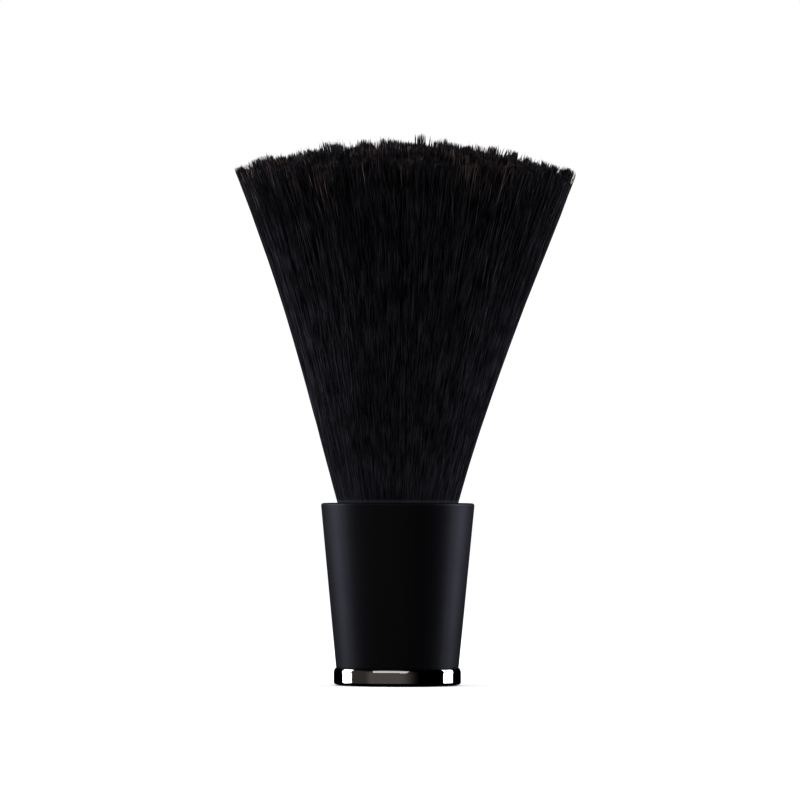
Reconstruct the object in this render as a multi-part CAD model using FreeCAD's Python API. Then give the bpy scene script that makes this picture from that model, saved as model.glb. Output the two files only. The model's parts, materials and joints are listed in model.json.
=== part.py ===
"""Neck duster brush for a barber or hair salon, standing upright on its own base.

A tapered, soft-touch handle sleeve stands on a plated base ring. A hair cup hangs under the sleeve's lip,
and one long screw through the base plate pulls the cup, the core, the ballast and the ring together.
The hair is bound with cord, potted in resin in the cup, and flares out of the sleeve's mouth to a domed trim.

Millimetres. +Z is up, and the origin is on the brush's axis, at the surface that it stands on.
Each node is a solid of revolution about +Z, apart from the screw's cross and the spring washer's split.
"""

import FreeCAD, Part

import math
import os

# ---- driving dimensions ------------------------------------------------------------------------------
TOTAL_HEIGHT = 163.0        # floor to the top of the hair's dome
FOOT_STEP = 0.3             # the foot pad stands this far proud of the base ring

RING_R = 19.03              # plated base ring, outside
RING_HEIGHT = 5.0
RING_LIP = 2.0              # its inner lip, which the base plate presses on

SLEEVE_BOTTOM_R = 18.35     # tapered handle sleeve, outside
SLEEVE_TOP_R = 23.05
SLEEVE_HEIGHT = 49.2
SLEEVE_WALL = 2.0
MOUTH_R = 18.8              # hole in the sleeve's lip, which the hair comes out of
LIP_THICKNESS = 2.2

HAIR_MOUTH_R = 18.4         # outside of the hair where it leaves the mouth
HAIR_MIDDLE_R = 33.0        # half way up to the trimmed edge
HAIR_TRIM_R = 50.5          # at the trimmed edge, the widest place
HAIR_DOME_RISE = 9.7        # from the trimmed edge up to the top of the dome
HAIR_CUP_TAPER = 0.24       # how fast the hair narrows below the mouth, as radius over height

LEAN_PIVOT_RISE = 10.0      # the hair leans about a point this far above the sleeve's top
LEAN_BALL_R = 20.6          # the leaning hair ends in a ball about that point
LEAN_GAP = 0.4              # between that ball and the hair that stays in the cup

CUP_WALL = 1.2
CUP_FLOOR = 2.0
CUP_GAP = 0.4               # between the cup and the sleeve's bore
GLUE_GAP = 0.05             # between the core and the sleeve's bore
CORE_TOP = 30.0             # height of the seat that the cup stands on
CORE_WEB = 3.0

PAD_THICKNESS = 1.3
PAD_GLUE = 0.2
SPIGOT_R = 13.0             # the base plate's spigot, and the ballast above it
SPIGOT_RISE = 1.0           # how far the spigot reaches up into the core
BALLAST_TOP = 17.4
RESIN_DEPTH = 8.0
SPREADER_R = 6.0

SCREW_R = 1.95              # M4
SCREW_HOLE_R = 2.3
INSERT_R = 3.0
INSERT_LENGTH = 8.0
BOSS_R = 5.5                # boss under the cup, which holds the threaded insert
CORD_D = 1.0
CORD_TURNS = 4

# ---- heights along the axis, worked out from the driving dimensions ----------------------------------
RING_BOTTOM = FOOT_STEP
RING_TOP = RING_BOTTOM + RING_HEIGHT
SLEEVE_TOP = RING_TOP + SLEEVE_HEIGHT
LIP_UNDER = SLEEVE_TOP - LIP_THICKNESS
HAIR_TRIM_Z = TOTAL_HEIGHT - HAIR_DOME_RISE
LEAN_PIVOT_Z = SLEEVE_TOP + LEAN_PIVOT_RISE

PLATE_SHOULDER = RING_TOP - RING_LIP
PLATE_TOP = RING_TOP + SPIGOT_RISE
PAD_POCKET_TOP = PAD_THICKNESS + PAD_GLUE
HEAD_BOTTOM = PAD_POCKET_TOP + 0.1
HEAD_TOP = HEAD_BOTTOM + 2.1
SPRING_WASHER_TOP = HEAD_TOP + 0.7
HEAD_POCKET_TOP = SPRING_WASHER_TOP + 0.6

BOSS_BOTTOM = BALLAST_TOP + 0.3
INSERT_BOTTOM = BOSS_BOTTOM + 0.2
INSERT_TOP = INSERT_BOTTOM + INSERT_LENGTH
SCREW_TIP = INSERT_TOP + 1.3
CUP_INSIDE = CORE_TOP + CUP_FLOOR
GASKET_THICKNESS = 0.6
CUP_TOP = LIP_UNDER - GASKET_THICKNESS
RESIN_TOP = CUP_INSIDE + RESIN_DEPTH
ROOTS_BOTTOM = CUP_INSIDE + 3.0


def sleeve_r(z):
    """Outside of the tapered sleeve at height z."""
    return SLEEVE_BOTTOM_R + (SLEEVE_TOP_R - SLEEVE_BOTTOM_R) * (z - RING_TOP) / SLEEVE_HEIGHT


def bore_r(z):
    return sleeve_r(z) - SLEEVE_WALL


def cup_outer_r(z):
    return bore_r(z) - CUP_GAP


def cup_inner_r(z):
    return cup_outer_r(z) - CUP_WALL


def roots_r(z):
    """Outside of the hair inside the cup: a straight cone down from the mouth."""
    return HAIR_MOUTH_R - HAIR_CUP_TAPER * (SLEEVE_TOP - z)


def ball_z(radius, r):
    """Height of the underside of a ball about the lean's pivot, at distance r from the axis."""
    return LEAN_PIVOT_Z - math.sqrt(radius ** 2 - r ** 2)


# ---- turned shapes -----------------------------------------------------------------------------------
def point(corner):
    return FreeCAD.Vector(corner[0], 0, corner[1])


def line(a, b):
    return Part.LineSegment(point(a), point(b)).toShape()


def arc(a, middle, b):
    return Part.Arc(point(a), point(middle), point(b)).toShape()


def turned(edges):
    """Solid of revolution of a closed outline, drawn as (distance from the axis, height)."""
    face = Part.Face(Part.Wire(edges))
    return face.revolve(FreeCAD.Vector(0, 0, 0), FreeCAD.Vector(0, 0, 1), 360)


def outline(*corners):
    """Edges of a closed polygon. A corner is (r, z), or (r, z, radius) where it is rounded."""
    starts, ends, bends = [], [], []
    for i, corner in enumerate(corners):
        at = point(corner)
        radius = corner[2] if len(corner) == 3 else 0
        back = (point(corners[i - 1]) - at).normalize()
        ahead = (point(corners[(i + 1) % len(corners)]) - at).normalize()
        half_angle = back.getAngle(ahead) / 2
        cut = radius / math.tan(half_angle)
        starts.append(at + back * cut)
        ends.append(at + ahead * cut)
        inward = (back + ahead).normalize()
        bends.append(at + inward * (radius / math.sin(half_angle) - radius))
    edges = []
    for i, corner in enumerate(corners):
        if len(corner) == 3:
            edges.append(Part.Arc(starts[i], bends[i], ends[i]).toShape())
        following = (i + 1) % len(corners)
        edges.append(Part.LineSegment(ends[i], starts[following]).toShape())
    return edges


def ring(inner, outer, low, high):
    """A plain ring, or a disc where inner is 0."""
    return turned(outline((inner, low), (outer, low), (outer, high), (inner, high)))


# ---- the handle --------------------------------------------------------------------------------------
def handle_sleeve():
    """Tapered outer sleeve with an inward lip round the mouth."""
    return turned(outline(
        (bore_r(RING_TOP), RING_TOP),
        (SLEEVE_BOTTOM_R, RING_TOP, 0.25),
        (SLEEVE_TOP_R, SLEEVE_TOP, 0.7),
        (MOUTH_R, SLEEVE_TOP, 0.5),
        (MOUTH_R, LIP_UNDER),
        (bore_r(LIP_UNDER), LIP_UNDER),
    ))


def handle_core():
    """Inner body glued in the sleeve: a pocket for the ballast below, and a seat for the cup on top."""
    pocket_r = SPIGOT_R + 0.2
    web_top = BALLAST_TOP + CORE_WEB
    hollow_r = 14.5
    boss_hole_r = BOSS_R + 0.2
    return turned(outline(
        (pocket_r, RING_TOP),
        (bore_r(RING_TOP) - GLUE_GAP, RING_TOP),
        (bore_r(CORE_TOP) - GLUE_GAP, CORE_TOP),
        (hollow_r, CORE_TOP, 0.4),
        (hollow_r, web_top, 0.8),
        (boss_hole_r, web_top, 0.4),
        (boss_hole_r, BALLAST_TOP),
        (pocket_r, BALLAST_TOP),
    ))


def ballast_slug():
    """Steel slug that keeps the top-heavy brush standing."""
    return turned(outline(
        (SCREW_HOLE_R, PLATE_TOP),
        (SPIGOT_R, PLATE_TOP, 0.4),
        (SPIGOT_R, BALLAST_TOP, 0.4),
        (SCREW_HOLE_R, BALLAST_TOP),
    ))


PLATE_BOSS_R = 14.85        # part of the base plate that fills the ring's lip
PLATE_RIM_R = 17.0


def base_ring():
    """Plated ring with a rounded bevel up to the sleeve, and an inner lip that the base plate presses on."""
    bevel_height = 1.0
    bevel_width = 0.5
    lip_r = PLATE_BOSS_R + 0.15
    plate_seat_r = PLATE_RIM_R + 0.1
    return turned(outline(
        (plate_seat_r, RING_BOTTOM, 0.2),
        (RING_R, RING_BOTTOM, 0.7),
        (RING_R, RING_TOP - bevel_height, 2.2),
        (RING_R - bevel_width, RING_TOP, 0.8),
        (lip_r, RING_TOP),
        (lip_r, PLATE_SHOULDER),
        (plate_seat_r, PLATE_SHOULDER),
    ))


PAD_R = 14.0


def base_plate():
    """Closing plate inside the ring, with a pocket for the foot pad and one for the screw's head."""
    bottom = 0.7
    pad_pocket_r = PAD_R + 0.2
    head_pocket_r = 4.3
    return turned(outline(
        (pad_pocket_r, bottom),
        (PLATE_RIM_R, bottom, 0.4),
        (PLATE_RIM_R, PLATE_SHOULDER),
        (PLATE_BOSS_R, PLATE_SHOULDER),
        (PLATE_BOSS_R, RING_TOP),
        (SPIGOT_R, RING_TOP),
        (SPIGOT_R, PLATE_TOP, 0.3),
        (SCREW_HOLE_R, PLATE_TOP),
        (SCREW_HOLE_R, HEAD_POCKET_TOP),
        (head_pocket_r, HEAD_POCKET_TOP),
        (head_pocket_r, PAD_POCKET_TOP),
        (pad_pocket_r, PAD_POCKET_TOP),
    ))


def foot_pad():
    """Non-slip pad in the plate's pocket, over the screw's head."""
    return turned(outline((0, 0), (PAD_R, 0, 0.35), (PAD_R, PAD_THICKNESS), (0, PAD_THICKNESS)))


def pad_adhesive():
    """Self-adhesive disc that holds the foot pad on the base plate."""
    return ring(0, PAD_R - 0.2, PAD_THICKNESS, PAD_POCKET_TOP)


def centre_screw():
    """M4 pan-head screw with a cross recess, from the base plate up into the cup's insert."""
    head_r = 3.7
    point_chamfer = 0.6
    body = turned(outline(
        (0, HEAD_BOTTOM),
        (head_r, HEAD_BOTTOM, 0.9),
        (head_r, HEAD_TOP),
        (SCREW_R, HEAD_TOP),
        (SCREW_R, SCREW_TIP - point_chamfer),
        (SCREW_R - point_chamfer, SCREW_TIP),
        (0, SCREW_TIP),
    ))
    cross_length, cross_width, cross_depth = 4.0, 0.9, 1.2
    for length, width in ((cross_length, cross_width), (cross_width, cross_length)):
        corner = FreeCAD.Vector(-length / 2, -width / 2, HEAD_BOTTOM)
        body = body.cut(Part.makeBox(length, width, cross_depth, corner))
    return body


def spring_washer():
    """Split lock washer on the screw's head."""
    split, outer = 0.6, 3.5
    slit = Part.makeBox(outer + 1, split, 5, FreeCAD.Vector(0, -split / 2, HEAD_TOP - 1))
    return ring(SCREW_R + 0.15, outer, HEAD_TOP, SPRING_WASHER_TOP).cut(slit)


def flat_washer():
    """Washer between the spring washer and the base plate."""
    return ring(SCREW_R + 0.2, 4.0, SPRING_WASHER_TOP, HEAD_POCKET_TOP)


# ---- the hair cup ------------------------------------------------------------------------------------
def bristle_cup():
    """Tapered cup that the hair is potted in, with a boss for the threaded insert."""
    screw_relief_top = SCREW_TIP + 0.4
    return turned(outline(
        (0, screw_relief_top),
        (SCREW_HOLE_R, screw_relief_top),
        (SCREW_HOLE_R, INSERT_TOP),
        (INSERT_R, INSERT_TOP),
        (INSERT_R, BOSS_BOTTOM),
        (BOSS_R, BOSS_BOTTOM, 0.4),
        (BOSS_R, CORE_TOP, 0.8),
        (cup_outer_r(CORE_TOP), CORE_TOP, 0.4),
        (cup_outer_r(CUP_TOP), CUP_TOP),
        (cup_inner_r(CUP_TOP), CUP_TOP),
        (cup_inner_r(CUP_INSIDE), CUP_INSIDE),
        (0, CUP_INSIDE),
    ))


def threaded_insert():
    """Brass M4 insert, with two grooves that lock it in the boss."""
    bore = SCREW_R + 0.05
    groove = 0.4
    bands = 5
    band = INSERT_LENGTH / bands
    corners = [(bore, INSERT_BOTTOM)]
    for step in range(bands):
        low = INSERT_BOTTOM + step * band
        r = INSERT_R - groove if step % 2 else INSERT_R
        corners += [(r, low), (r, low + band)]
    corners.append((bore, INSERT_TOP))
    return turned(outline(*corners))


def rim_gasket():
    """Flat ring that seals the cup against the underside of the sleeve's lip."""
    return ring(cup_inner_r(CUP_TOP), cup_outer_r(CUP_TOP), CUP_TOP, LIP_UNDER)


def resin_plug():
    """Potting resin round the ends of the hair, and under the spreader plug."""
    hair_r = roots_r(RESIN_TOP)
    return turned(outline(
        (0, CUP_INSIDE),
        (cup_inner_r(CUP_INSIDE), CUP_INSIDE),
        (cup_inner_r(RESIN_TOP), RESIN_TOP),
        (hair_r, RESIN_TOP),
        (hair_r, ROOTS_BOTTOM),
        (0, ROOTS_BOTTOM),
    ))


def spreader_plug():
    """Plug in the middle of the hair that makes it fan out."""
    top = ball_z(LEAN_BALL_R + LEAN_GAP, 0)
    return turned(outline((0, ROOTS_BOTTOM), (SPREADER_R, ROOTS_BOTTOM), (SPREADER_R, top, 1.5), (0, top)))


def binding_cord():
    """Cord bound round the hair just above the resin, each turn a closed ring."""
    turn_pitch = CORD_D * 1.06
    lowest = RESIN_TOP + CORD_D * 0.6
    clearance = 0.05
    turns = []
    for turn in range(CORD_TURNS):
        z = lowest + turn * turn_pitch
        centre_r = roots_r(z + CORD_D / 2) + CORD_D / 2 + clearance
        turns.append(Part.makeTorus(centre_r, CORD_D / 2, FreeCAD.Vector(0, 0, z)))
    return Part.makeCompound(turns)


# ---- the hair ----------------------------------------------------------------------------------------
def bristle_roots():
    """The hair held in the cup, hollowed on top to clear the ball that the leaning hair ends in."""
    hollow_r = LEAN_BALL_R + LEAN_GAP
    rim_r = HAIR_MOUTH_R - 0.4
    rim_z = ball_z(hollow_r, rim_r)
    shoulder_z = rim_z - 0.6
    middle_r = (SPREADER_R + rim_r) / 2
    outer = [
        (rim_r, rim_z),
        (roots_r(shoulder_z), shoulder_z),
        (roots_r(RESIN_TOP), RESIN_TOP),
        (roots_r(RESIN_TOP), ROOTS_BOTTOM),
        (SPREADER_R, ROOTS_BOTTOM),
        (SPREADER_R, ball_z(hollow_r, SPREADER_R)),
    ]
    edges = [line(a, b) for a, b in zip(outer, outer[1:])]
    edges.append(arc(outer[-1], (middle_r, ball_z(hollow_r, middle_r)), outer[0]))
    return turned(edges)


def bristle_head():
    """The free hair: a ball at the mouth, then a flare up to the domed trim."""
    middle_z = (SLEEVE_TOP + HAIR_TRIM_Z) / 2
    ball_bottom = (0, LEAN_PIVOT_Z - LEAN_BALL_R)
    half_way = LEAN_BALL_R * math.sin(math.radians(45))
    ball_middle = (half_way, ball_z(LEAN_BALL_R, half_way))
    ball_edge = (LEAN_BALL_R, LEAN_PIVOT_Z)
    trim_edge = (HAIR_TRIM_R, HAIR_TRIM_Z)
    dome_r = (HAIR_TRIM_R ** 2 + HAIR_DOME_RISE ** 2) / (2 * HAIR_DOME_RISE)
    dome_drop = dome_r - math.sqrt(dome_r ** 2 - (HAIR_TRIM_R / 2) ** 2)
    dome_middle = (HAIR_TRIM_R / 2, TOTAL_HEIGHT - dome_drop)
    dome_top = (0, TOTAL_HEIGHT)
    return turned([
        arc(ball_bottom, ball_middle, ball_edge),
        arc(ball_edge, (HAIR_MIDDLE_R, middle_z), trim_edge),
        arc(trim_edge, dome_middle, dome_top),
        line(dome_top, ball_bottom),
    ])


NODES = (
    handle_sleeve, handle_core, ballast_slug,
    base_ring, base_plate, foot_pad, pad_adhesive,
    centre_screw, spring_washer, flat_washer,
    bristle_cup, threaded_insert, rim_gasket, resin_plug, spreader_plug,
    binding_cord, bristle_roots, bristle_head,
)

os.makedirs("parts", exist_ok=True)
for make in NODES:
    shape = make()
    if not shape.isValid() or shape.Volume <= 0:
        raise ValueError(f"{make.__name__} isn't a sound solid")
    shape.exportStep(f"parts/{make.__name__}.step")
    print(f"{make.__name__:16s} {len(shape.Solids)} solids, {shape.Volume:9.1f} mm3")
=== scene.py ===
"""Looks of the neck duster brush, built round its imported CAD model. Metres, +Z up, origin under the foot."""

import json
import math

import bpy
import numpy as np
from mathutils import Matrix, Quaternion, Vector


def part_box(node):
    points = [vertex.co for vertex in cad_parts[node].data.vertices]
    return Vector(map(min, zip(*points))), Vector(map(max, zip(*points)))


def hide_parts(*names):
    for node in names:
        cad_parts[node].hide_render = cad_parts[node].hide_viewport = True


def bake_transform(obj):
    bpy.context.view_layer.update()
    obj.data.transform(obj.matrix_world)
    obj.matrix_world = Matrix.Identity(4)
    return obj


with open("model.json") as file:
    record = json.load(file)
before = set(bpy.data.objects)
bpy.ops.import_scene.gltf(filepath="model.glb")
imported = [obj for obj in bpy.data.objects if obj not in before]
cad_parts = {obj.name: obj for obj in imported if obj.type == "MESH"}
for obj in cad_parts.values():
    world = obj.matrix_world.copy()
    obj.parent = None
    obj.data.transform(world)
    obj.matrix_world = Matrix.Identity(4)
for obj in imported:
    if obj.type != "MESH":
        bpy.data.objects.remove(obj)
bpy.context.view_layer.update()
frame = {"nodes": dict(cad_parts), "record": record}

MM = 0.001
rng = np.random.default_rng(5)

# ---- places, all from the frame ----------------------------------------------------------------------
RIM_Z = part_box("handle_sleeve")[1].z            # the sleeve's top, which the hair comes out of
TOP_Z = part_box("bristle_head")[1].z             # top of the hair's dome
TRIM_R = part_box("bristle_head")[1].x            # radius of the trimmed edge, the widest place
MOUTH_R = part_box("bristle_roots")[1].x          # radius of the hair where it leaves the mouth

DOME_RISE = 9.7 * MM                            # from the trimmed edge up to the top of the dome
TRIM_HEIGHT = TOP_Z - DOME_RISE - RIM_Z         # the trimmed edge above the rim
LEAN_SHIFT = 2.3 * MM                           # how far the head stands to the +X side of the handle's axis
LEAN_HEIGHT = 92 * MM                           # and the height above the rim by which it has got there
TRIM_SLOPE = 0.012                              # the trimmed dome falls a little towards +X
TIP_LENGTH = 1.0 * MM                           # the last, pointed bit of each strand
FLARE_STRAIGHT = 0.835                          # share of the flare that is a straight cone


# ---- the shape of the head of hair -------------------------------------------------------------------
def smooth(low, high, x):
    """0 below low and 1 above high, with an S-curve between."""
    t = np.clip((x - low) / (high - low), 0, 1)
    return t * t * (3 - 2 * t)


def flare(height):
    """Radius of the head at a height above the rim: a little concave, as the hair springs outwards."""
    t = height / TRIM_HEIGHT
    return MOUTH_R + (TRIM_R - MOUTH_R) * t * (FLARE_STRAIGHT + (1 - FLARE_STRAIGHT) * t)


def dome_height(radius):
    """Height above the rim of the trimmed dome, at a distance from the axis."""
    ball = (TRIM_R ** 2 + DOME_RISE ** 2) / (2 * DOME_RISE)
    return TOP_Z - RIM_Z - ball + np.sqrt(ball ** 2 - np.minimum(radius, TRIM_R) ** 2)


def lean(height):
    """How far towards +X the hair stands at a height above the rim."""
    return LEAN_SHIFT * smooth(0, LEAN_HEIGHT, height)


def trim_height(x, radius):
    """Height above the rim of the real trim, which slopes a little down towards +X."""
    return dome_height(radius) - TRIM_SLOPE * x


def new_piece(name, mesh):
    piece = bpy.data.objects.new(name, mesh)
    bpy.context.scene.collection.objects.link(piece)
    return piece


# ---- strands -----------------------------------------------------------------------------------------
def strand_corners(points):
    """Faces of one three-sided strand, and for each of their corners its ring and its place across."""
    faces, rings, across = [], [], []
    tip = 3 * (points - 1)
    for ring in range(points - 2):
        for side in range(3):
            low, after = 3 * ring, (side + 1) % 3
            faces.append((low + side, low + after, low + 3 + after, low + 3 + side))
            rings += [ring, ring, ring + 1, ring + 1]
            across += [0, 1, 1, 0]
    for side in range(3):
        low = 3 * (points - 2)
        faces.append((low + side, low + (side + 1) % 3, tip))
        rings += [points - 2, points - 2, points - 1]
        across += [0, 1, 0.5]
    return faces, np.array(rings), np.array(across)


def strand_mesh(name, centre, thickness, shade, along):
    """One mesh of many tapered strands, each with three sides and a point at its end.

    The arrays are centre (strand, point, xyz), thickness and along (strand, point) and shade (strand).
    The map has the strand's shade across it, and runs along the strand from the rim to its tip.
    """
    count, points = centre.shape[:2]
    way = np.gradient(centre, axis=1)
    way /= np.linalg.norm(way, axis=2, keepdims=True)
    side = np.cross(way, [0.0, 1.0, 0.0])
    side /= np.linalg.norm(side, axis=2, keepdims=True)
    front = np.cross(way, side)
    turn = rng.uniform(0, 2 * math.pi, (count, 1))
    corners = []
    for corner in range(3):
        angle = (turn + corner * 2 * math.pi / 3)[..., None]
        offset = np.cos(angle) * side + np.sin(angle) * front
        corners.append(centre + thickness[..., None] / 2 * offset)
    body = np.stack(corners, 2)[:, :-1].reshape(count, -1, 3)
    verts = np.concatenate([body, centre[:, -1:]], 1)

    faces, rings, across = strand_corners(points)
    one = np.concatenate([np.array(face) for face in faces])
    loops = (np.arange(count)[:, None] * verts.shape[1] + one).ravel()
    totals = np.tile([len(face) for face in faces], count)

    mesh = bpy.data.meshes.new(name)
    mesh.vertices.add(verts.shape[0] * verts.shape[1])
    mesh.vertices.foreach_set("co", verts.astype(np.float32).ravel())
    mesh.loops.add(len(loops))
    mesh.loops.foreach_set("vertex_index", loops.astype(np.int32))
    mesh.polygons.add(len(totals))
    mesh.polygons.foreach_set("loop_start", (np.cumsum(totals) - totals).astype(np.int32))
    mesh.polygons.foreach_set("use_smooth", np.ones(len(totals), bool))
    mesh.update(calc_edges=True)

    strip = 0.002                               # share of the map's width that each strand takes
    u = shade[:, None] * (1 - strip) + across * strip
    uv = np.stack([u, along[:, rings]], 2)
    mesh.uv_layers.new(name="OFBake").data.foreach_set("uv", uv.astype(np.float32).ravel())
    return new_piece(name, mesh)


# Tufts that the strands' ends gather in, in a sunflower pattern over the trimmed dome. Places of tufts and
# of strands are shares of the head's radius. A tuft's rise is how far it stands above the trimmed dome.
TUFTS = 720
TUFT_JITTER = 0.012
TUFT_RISE = -0.85 * MM
TUFT_RISE_SPREAD = 1.1 * MM                     # what makes the trim ragged
tuft_order = np.arange(TUFTS)
tuft_share = np.sqrt((tuft_order + 0.5) / TUFTS)
tuft_angle = tuft_order * math.pi * (3 - math.sqrt(5)) + rng.normal(0, 0.3 / np.sqrt(tuft_order + 8), TUFTS)
tuft_place = np.stack([tuft_share * np.cos(tuft_angle), tuft_share * np.sin(tuft_angle)], 1)
tuft_place += rng.normal(0, TUFT_JITTER, tuft_place.shape)
tuft_rise = rng.normal(TUFT_RISE, TUFT_RISE_SPREAD, TUFTS)
tuft_shade = rng.uniform(0, 0.97, TUFTS)


def nearest_tuft(place):
    """For each place the number of the tuft nearest to it, found in batches to save memory."""
    found = []
    for batch in np.array_split(place, 40):
        found.append(np.argmin(((tuft_place - batch[:, None]) ** 2).sum(2), 1))
    return np.concatenate(found)


def gathered(root, tuft, loose):
    """Where strands end: each part of the way from above its root to its tuft, and a few of them astray."""
    spread = 0.008 + loose
    wild_share = 0.10                           # how many of the strands go astray
    wild_spread = 0.045
    furthest = 1.012                            # from the axis
    count = len(root)
    gather = rng.uniform(0.15, 0.85, count)[:, None] ** 1.2
    tip = root + (tuft_place[tuft] - root) * gather
    tip += rng.normal(0, spread, (count, 2))
    wild = rng.uniform(0, 1, count) < wild_share
    tip[wild] += rng.normal(0, wild_spread, (int(wild.sum()), 2))
    return tip * np.minimum(1, furthest / np.linalg.norm(tip, axis=1))[:, None]


def weave(place, along, length):
    """Sideways swing of strands that weave between their neighbours. They start with none at their roots."""
    in_and_out = 0.26 * MM
    sideways = 0.34 * MM
    count = len(place)
    cycles = rng.uniform(1.5, 5.0, (count, 2)) * length / TRIM_HEIGHT
    phase = rng.uniform(0, 2 * math.pi, (count, 2))
    wave = np.sin(2 * math.pi * cycles[:, None] * along[..., None] + phase[:, None])
    outward = place / np.linalg.norm(place, axis=2, keepdims=True).clip(1 * MM)
    around = np.stack([-outward[..., 1], outward[..., 0]], 2)
    swing = smooth(0, 0.25, along)[..., None]
    return swing * (in_and_out * wave[..., :1] * outward + sideways * wave[..., 1:] * around)


def strands(name, count, points, inner, outer, start, width, proud=0.0, loose=0.0):
    """Strands whose roots lie between two shares of the head's radius, inner and outer.

    They run from a height above the rim, start, up to the trimmed dome, or higher by proud. width is their
    usual thickness, points is how many points each has, and loose is how much more than others they stray.
    """
    share = np.sqrt(rng.uniform(inner ** 2, outer ** 2, count))
    angle = rng.uniform(0, 2 * math.pi, count)
    root = np.stack([share * np.cos(angle), share * np.sin(angle)], 1)
    tuft = nearest_tuft(root)
    tip = gathered(root, tuft, loose)

    # Most strands end a little under their tuft's height, and none ends far over it.
    trim = trim_height(tip[:, 0] * TRIM_R, np.linalg.norm(tip, axis=1) * TRIM_R)
    uneven = -np.abs(rng.normal(0, 0.3 * MM, count)) + rng.normal(0, 0.12 * MM, count)
    tip_height = trim + tuft_rise[tuft] + uneven + proud

    # The points lie closer together near the root, where the hair bends when it leans.
    cone = TIP_LENGTH / (TRIM_HEIGHT - start)
    way_up = np.append((1 - cone) * np.linspace(0, 1, points - 1) ** 1.2, 1.0)[None, :]
    height = start + (tip_height[:, None] - start) * way_up

    # Each strand turns to its tuft more and more on its way up.
    turn_in = way_up[..., None] ** 1.7
    place = root[:, None] * (1 - turn_in) + tip[:, None] * turn_in
    place *= flare(height)[..., None]
    place += weave(place, way_up, TRIM_HEIGHT - start)

    # Nothing stands out of the flare but the ends, by half a millimetre.
    limit = flare(height) - 0.1 * MM + 0.6 * MM * smooth(0.5, 1.0, height / TRIM_HEIGHT)
    place *= np.minimum(1, limit / np.linalg.norm(place, axis=2))[..., None]

    centre = np.stack([place[..., 0] + lean(height), place[..., 1], RIM_Z + height], 2)
    thick = rng.normal(1, 0.18, (count, 1)).clip(0.6, 1.6) * width
    along = np.clip(height / tip_height[:, None], 0, 1)
    taper = 1 - 0.35 * smooth(0.85, 1.0, along)         # a third thinner before the point
    shade = tuft_shade[tuft] + rng.uniform(0, 0.03, count)
    return strand_mesh(name, centre, thick * taper, shade, along)


# ---- the dark bundle under the strands ---------------------------------------------------------------
def bundle(name):
    """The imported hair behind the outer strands: a fluted surface, so that no gap shows light."""
    segments = 720
    side_rows = 16
    top_rows = 12
    share = 0.945                               # of the head's radius
    inset = 0.2 * MM
    bottom = -6 * MM
    below = 10 * MM                             # how far it stays under the trimmed dome
    sag = 2 * MM                                # and how much further halfway in
    flute_depth = 0.2 * MM
    plain_r = 6 * MM                            # the flutes fade out within this radius

    profile = []
    for h in np.linspace(bottom, TRIM_HEIGHT - below, side_rows):
        profile.append((share * flare(max(h, 0)) - inset, h))
    edge = profile[-1][0]
    for r in np.linspace(edge, 0, top_rows)[1:-1]:
        profile.append((r, float(dome_height(r)) - below - sag * math.sin(math.pi * r / edge)))

    turn = np.linspace(0, 2 * math.pi, segments, endpoint=False)
    flute = rng.normal(0, flute_depth, segments)
    verts = []
    for r, h in profile:
        out = r + flute * min(1, r / plain_r) * rng.normal(1, 0.15, segments)
        x = out * np.cos(turn) + lean(h)
        verts.append(np.stack([x, out * np.sin(turn), np.full(segments, RIM_Z + h)], 1))
    top = len(profile) * segments
    verts.append(np.array([[lean(TRIM_HEIGHT), 0, TOP_Z - below]]))

    faces, uv = [], []
    for ring in range(len(profile) - 1):
        for i in range(segments):
            low, after = ring * segments, (i + 1) % segments
            faces.append((low + i, low + after, low + segments + after, low + segments + i))
            a, b = i / segments, (i + 1) / segments
            v, w = ring / len(profile), (ring + 1) / len(profile)
            uv += [(a, v), (b, v), (b, w), (a, w)]
    low = (len(profile) - 1) * segments
    v = (len(profile) - 1) / len(profile)
    for i in range(segments):
        faces.append((low + i, low + (i + 1) % segments, top))
        a = i / segments
        uv += [(a, v), (a + 1 / segments, v), (a + 0.5 / segments, 1)]
    mesh = bpy.data.meshes.new(name)
    mesh.from_pydata(np.concatenate(verts).tolist(), [], faces)
    mesh.polygons.foreach_set("use_smooth", [True] * len(faces))
    mesh.uv_layers.new(name="OFBake").data.foreach_set("uv", np.array(uv, np.float32).ravel())
    return new_piece(name, mesh)


# ---- materials ---------------------------------------------------------------------------------------
class Tree:
    """A node tree, with short ways to add to it. An input is a number, a colour or another node's output."""

    def __init__(self, tree):
        self.tree = tree

    def feed(self, socket, value):
        """Link an output to the socket, or set the socket's own value."""
        if isinstance(value, bpy.types.NodeSocket):
            self.tree.links.new(value, socket)
        elif socket.type == "RGBA":
            socket.default_value = (*value, 1)
        else:
            socket.default_value = value

    def node(self, kind, output, inputs, **settings):
        """One new node: its output by name, or all of its outputs for None."""
        made = self.tree.nodes.new("ShaderNode" + kind)
        for key, value in settings.items():
            setattr(made, key, value)
        for key, value in inputs.items():
            self.feed(made.inputs[key], value)
        return made.outputs if output is None else made.outputs[output]

    def remap(self, value, low, high, start=0.0, end=1.0, kind="LINEAR"):
        inputs = {"Value": value, "From Min": start, "From Max": end, "To Min": low, "To Max": high}
        return self.node("MapRange", "Result", inputs, interpolation_type=kind)

    def mix(self, factor, a, b):
        return self.node("Mix", "Result", {"Factor": factor, "A": a, "B": b}, data_type="RGBA")

    def math(self, operation, a, b):
        return self.node("Math", "Value", {0: a, 1: b}, operation=operation)


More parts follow.
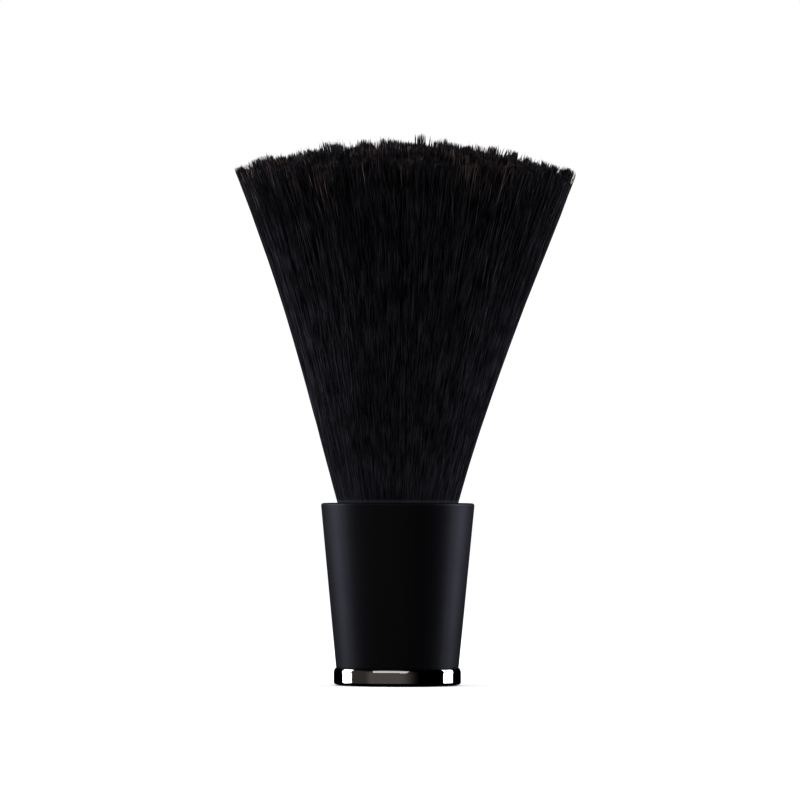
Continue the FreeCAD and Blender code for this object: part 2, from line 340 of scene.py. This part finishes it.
class Material(Tree):
    def __init__(self, name):
        self.data = bpy.data.materials.new(name)
        self.data.use_nodes = True
        super().__init__(self.data.node_tree)

    def set(self, **inputs):
        """Feed the shader's own sockets, whose names are written here with _ for a space."""
        shader = self.tree.nodes["Principled BSDF"]
        for key, value in inputs.items():
            self.feed(shader.inputs[key.replace("_", " ")], value)

    def place(self, stretch=(1, 1, 1)):
        """The place on the piece, in metres, with each axis multiplied by its stretch."""
        at = self.node("TexCoord", "Object", {})
        return self.node("Mapping", "Vector", {"Vector": at, "Scale": stretch})

    def noise(self, scale, detail=3.0, stretch=(1, 1, 1)):
        inputs = {"Vector": self.place(stretch), "Scale": scale, "Detail": detail}
        return self.node("TexNoise", "Fac", inputs)

    def bump(self, height, distance, strength):
        inputs = {"Height": height, "Distance": distance, "Strength": strength}
        self.set(Normal=self.node("Bump", "Normal", inputs))


def hair_material():
    """Black hair, a little bluish, with the ends of some tufts greyish brown.

    Strands differ, and each differs along its length. Towards the rim they are painted paler, as painted
    light, and right above the rim runs a painted highlight: a pale line.
    """
    hair = Material("black_hair")
    uv = hair.node("UVMap", "UV", {}, uv_map="OFBake")
    split = hair.node("SeparateXYZ", None, {"Vector": uv})
    shade, along = split["X"], split["Y"]

    # Streaks are narrow across the map, so that strands differ, and drawn out along it.
    drawn_out = hair.node("Mapping", "Vector", {"Vector": uv, "Scale": (300, 13, 1)})
    fine = {"Vector": drawn_out, "Scale": 1, "Detail": 2}
    streaks = hair.node("TexNoise", "Fac", fine, noise_dimensions="2D")
    coarse = {"W": shade, "Scale": 14, "Detail": 1}
    tufts = hair.node("TexNoise", "Fac", coarse, noise_dimensions="1D")
    pale = hair.remap(streaks, 0, 1, start=0.44, end=0.66)
    # Painted light: the pale streaks are painted up to 2.2 times stronger near the rim, fading out a tenth of
    # the way up.
    painted_light_near_rim = hair.remap(along, 2.2, 1, start=0.03, end=0.13)
    black = hair.mix(
        hair.math("MULTIPLY", pale, painted_light_near_rim), (0.0018, 0.0017, 0.0031), (0.0295, 0.0272, 0.0382)
    )

    bright = hair.math("MULTIPLY", pale, pale)
    tip = hair.mix(bright, (0.0052, 0.0016, 0.0012), (0.2300, 0.1640, 0.1480))
    brown = hair.remap(tufts, 0.05, 1, start=0.50, end=0.66)
    end = hair.remap(along, 0, 1, start=0.87, end=1.0)
    strand = hair.mix(hair.math("MULTIPLY", brown, end), black, tip)
    # Painted highlight: a bluish grey line painted round the strands just above the rim.
    painted_rim_highlight = hair.remap(along, 1, 0, start=0.005, end=0.011)
    hair.set(
        Base_Color=hair.mix(painted_rim_highlight, strand, (0.0750, 0.0710, 0.0880)),
        Roughness=0.42,
        Specular_IOR_Level=0.3,
    )
    return hair.data


def soft_touch_material():
    """Rubber-like black lacquer: dark face on, and a bluish grey where it curves away."""
    made = Material("soft_touch_black")
    cloud = made.noise(60, 4)
    made.set(
        Base_Color=made.mix(cloud, (0.0008, 0.0005, 0.0034), (0.0014, 0.0010, 0.0048)),
        Roughness=made.remap(cloud, 0.48, 0.54),
        Specular_IOR_Level=0.43,
        Sheen_Weight=0.03,
        Sheen_Roughness=0.4,
        Sheen_Tint=(0.75, 0.82, 1.0),
    )
    made.bump(made.noise(3500), 0.02 * MM, 0.15)
    return made.data


def dark_chrome_material():
    """Smoothly plated metal, a little darker than chrome."""
    made = Material("dark_chrome")
    cloud = made.noise(140, 5)
    made.set(
        Base_Color=made.mix(cloud, (0.61, 0.59, 0.57), (0.67, 0.65, 0.63)),
        Roughness=made.remap(cloud, 0.04, 0.08),
        Metallic=1.0,
    )
    return made.data


def solid_material(name, low, high, cloud, rough, grain, depth, stretch=(1, 1, 1)):
    """A material that clouds between two colours, with a fine grain in relief. Scales are per metre."""
    made = Material(name)
    fine = made.noise(grain, 3, stretch)
    made.set(
        Base_Color=made.mix(made.noise(cloud, 4, stretch), low, high),
        Roughness=made.remap(fine, rough - 0.06, rough + 0.06),
    )
    made.bump(fine, depth, 0.4)
    return made.data


def turned_material(name, low, high, pitch, rough):
    """Turned metal: fine rings about the axis."""
    made = Material(name)
    inputs = {"Vector": made.place(), "Scale": 1 / pitch, "Distortion": 1.5, "Detail": 3}
    rings = made.node("TexWave", "Fac", inputs, wave_type="RINGS", rings_direction="Z")
    made.set(
        Base_Color=made.mix(made.noise(300, 4), low, high),
        Roughness=made.remap(rings, rough - 0.05, rough + 0.08),
        Metallic=1.0,
    )
    made.bump(rings, 0.01 * MM, 0.3)
    return made.data


# ---- the hair's pieces -------------------------------------------------------------------------------
# Strands: how many, points in each, shares of the radius from and to, height to start at, and thickness.
OUTER_FROM = -4 * MM                            # the outer ones start inside the handle's mouth
core = bundle("bristle_core")
pieces = [core]
for letter in "abcde":
    pieces.append(strands("bristles_outer_" + letter, 2240, 16, 0.93, 1.0, OUTER_FROM, 0.22 * MM))
pieces.append(strands("bristles_middle", 7000, 5, 0.70, 0.96, TRIM_HEIGHT - 24 * MM, 0.34 * MM))
pieces.append(strands("bristles_inner", 9000, 5, 0.0, 0.80, TRIM_HEIGHT - 20 * MM, 0.40 * MM))
pieces.append(strands(
    "bristles_stray", 600, 6, 0.30, 1.0, TRIM_HEIGHT - 30 * MM, 0.14 * MM, proud=1.0 * MM, loose=0.012
))
pieces.append(strands(
    "bristles_crossing", 1000, 11, 0.98, 1.0, TRIM_HEIGHT - 66 * MM, 0.25 * MM, proud=-0.4 * MM, loose=0.075
))

black_hair = hair_material()
for piece in pieces:
    piece.data.materials.append(black_hair)
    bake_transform(piece)
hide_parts("bristle_head", "bristle_roots")

# ---- the handle's materials, by the record's slots ---------------------------------------------------
# Solid: two colours, clouds per metre, roughness, grain per metre, its depth and, for some, its stretch.
SOLID_LOOKS = {
    "core_plastic": ((0.020, 0.020, 0.022), (0.030, 0.030, 0.033), 90, 0.42, 2600, 0.02 * MM),
    "plate_plastic": ((0.012, 0.012, 0.013), (0.020, 0.020, 0.021), 110, 0.50, 2200, 0.03 * MM),
    "pad_rubber": ((0.010, 0.010, 0.010), (0.019, 0.018, 0.018), 160, 0.78, 3000, 0.05 * MM),
    "adhesive_film": ((0.62, 0.57, 0.44), (0.72, 0.68, 0.56), 200, 0.35, 900, 0.02 * MM),
    "potting_resin": ((0.26, 0.13, 0.035), (0.38, 0.21, 0.07), 120, 0.16, 500, 0.03 * MM),
    "plug_wood": ((0.42, 0.27, 0.14), (0.62, 0.45, 0.27), 900, 0.62, 2600, 0.04 * MM, (1, 1, 0.06)),
    "waxed_cord": ((0.50, 0.44, 0.33), (0.68, 0.62, 0.50), 1500, 0.55, 3500, 0.06 * MM, (1, 1, 2.5)),
}
# Turned: two colours, the pitch of the rings, and roughness.
TURNED_LOOKS = {
    "plain_steel": ((0.36, 0.35, 0.34), (0.48, 0.47, 0.46), 0.5 * MM, 0.36),
    "zinc_steel": ((0.56, 0.57, 0.58), (0.70, 0.71, 0.72), 0.4 * MM, 0.26),
    "insert_brass": ((0.60, 0.42, 0.17), (0.74, 0.54, 0.25), 0.4 * MM, 0.27),
}
looks = {
    "soft_touch_black": soft_touch_material(),
    "dark_chrome": dark_chrome_material(),
    "black_hair": black_hair,
}
for slot_name, look in SOLID_LOOKS.items():
    looks[slot_name] = solid_material(slot_name, *look)
for slot_name, look in TURNED_LOOKS.items():
    looks[slot_name] = turned_material(slot_name, *look)
for part in frame["record"]["subparts"]:
    slots = frame["nodes"][part["node"]].data.materials
    slots.clear()
    slots.append(looks[part["material_slot"]])


# ---- floor, lights and camera ------------------------------------------------------------------------
def floor():
    """A plain pale floor that doesn't show in glossy surfaces."""
    mesh = bpy.data.meshes.new("floor")
    half = 10
    corners = [(-half, -half, 0), (half, -half, 0), (half, half, 0), (-half, half, 0)]
    mesh.from_pydata(corners, [], [(0, 1, 2, 3)])
    plane = new_piece("floor", mesh)
    pale = Material("pale_floor")
    pale.set(Base_Color=(0.94, 0.94, 0.94), Roughness=0.8, Specular_IOR_Level=0.0)
    mesh.materials.append(pale.data)
    plane.visible_glossy = False


def softbox(name, azimuth, elevation, distance, width, height, radiance, colour, roll=0.0):
    """A flat light that faces the middle of the brush.

    Angles are in degrees. Azimuth 0 is the camera's side and 90 is +X, and roll turns the light about the
    way it faces.
    """
    a, e = math.radians(azimuth), math.radians(elevation)
    way = Vector((math.sin(a) * math.cos(e), -math.cos(a) * math.cos(e), math.sin(e)))
    light = bpy.data.lights.new(name, "AREA")
    light.shape = "RECTANGLE"
    light.size, light.size_y = width, height
    light.energy = radiance * math.pi * width * height
    light.color = colour
    box = bpy.data.objects.new(name, light)
    box.location = Vector((0, 0, TOP_Z / 2)) + way * distance
    box.rotation_mode = "QUATERNION"
    box.rotation_quaternion = way.to_track_quat("Z", "Y") @ Quaternion((0, 0, 1), math.radians(roll))
    box.visible_camera = False
    bpy.context.scene.collection.objects.link(box)
    return box


def studio_room():
    """A white room that gloss sees as dark, but for a dim warm patch in front of the brush."""
    world = bpy.data.worlds.new("studio")
    bpy.context.scene.world = world
    world.use_nodes = True
    # The room isn't sampled as a light, since its colour goes by the kind of ray that meets it.
    world.cycles.sampling_method = "NONE"
    room = Tree(world.node_tree)
    seen = room.node("TexCoord", "Generated", {})
    turned = room.node("Mapping", "Vector", {"Vector": seen, "Scale": (1, -1, 1)})
    way = room.node("SeparateXYZ", None, {"Vector": turned})
    azimuth = room.math("ARCTAN2", way["X"], way["Y"])

    def step(amount, start, end):
        return room.remap(azimuth, 0, amount, math.radians(start), math.radians(end), "SMOOTHSTEP")

    # The patch comes up in two steps on the left, and fades out to the right of the camera, upwards and
    # downwards. Its sides are in degrees, and its top and bottom are sines of the elevation.
    left = room.math("ADD", step(0.5, -126, -90), step(0.5, -62, -48))
    across = room.math("SUBTRACT", left, step(1.0, 2, 42))
    above = room.remap(way["Z"], 1, 0, 0.45, 0.70, "SMOOTHSTEP")
    below = room.remap(way["Z"], 0, 1, -0.45, -0.10, "SMOOTHSTEP")
    patch = room.math("MULTIPLY", across, room.math("MULTIPLY", above, below))
    ray = room.node("LightPath", None, {})
    gloss = room.mix(patch, (0, 0, 0), (0.190, 0.176, 0.168))
    soft = room.mix(ray["Is Diffuse Ray"], gloss, (1.1, 1.1, 1.1))
    background = world.node_tree.nodes["Background"]
    room.feed(background.inputs["Color"], room.mix(ray["Is Camera Ray"], soft, (1, 1, 1)))
    background.inputs["Strength"].default_value = 1.0


floor()
COOL = (0.82, 0.85, 1.0)
WHITE = (1, 1, 1)
# Soft boxes: azimuth, elevation and distance come first.
softbox("left_softbox", -107.4, 7, 0.8, width=0.36, height=0.64, radiance=8.2, colour=COOL, roll=16)
softbox("right_softbox", 109.4, 7, 0.8, width=0.38, height=0.64, radiance=7.0, colour=COOL, roll=-16)
softbox("front_softbox", -13.6, 27, 0.9, width=1.10, height=0.48, radiance=0.85, colour=WHITE)
overhead = softbox("overhead_softbox", 0, 90, 0.85, width=0.6, height=0.6, radiance=1.5, colour=WHITE)
overhead.visible_glossy = False
studio_room()
bpy.context.scene.view_settings.view_transform = "Standard"
bpy.context.scene.view_settings.gamma = 0.75

CAMERA_DISTANCE = 1.47
CAMERA_HEIGHT = 40 * MM
FRAME_WIDTH = 0.240                             # what the picture spans at the brush
AIM = Vector((0.58 * MM, 0, 85.5 * MM))         # the middle of the picture
ROLL = math.radians(0.15)
SENSOR_WIDTH = 36                               # millimetres, as Blender has it
camera_data = bpy.data.cameras.new("camera")
camera_data.sensor_width = SENSOR_WIDTH
camera_data.lens = SENSOR_WIDTH * CAMERA_DISTANCE / FRAME_WIDTH
camera = bpy.data.objects.new("camera", camera_data)
camera.location = (AIM.x, -CAMERA_DISTANCE, CAMERA_HEIGHT)
camera.rotation_mode = "QUATERNION"
camera.rotation_quaternion = (AIM - camera.location).to_track_quat("-Z", "Y") @ Quaternion((0, 0, 1), ROLL)
bpy.context.scene.collection.objects.link(camera)
bpy.context.scene.camera = camera
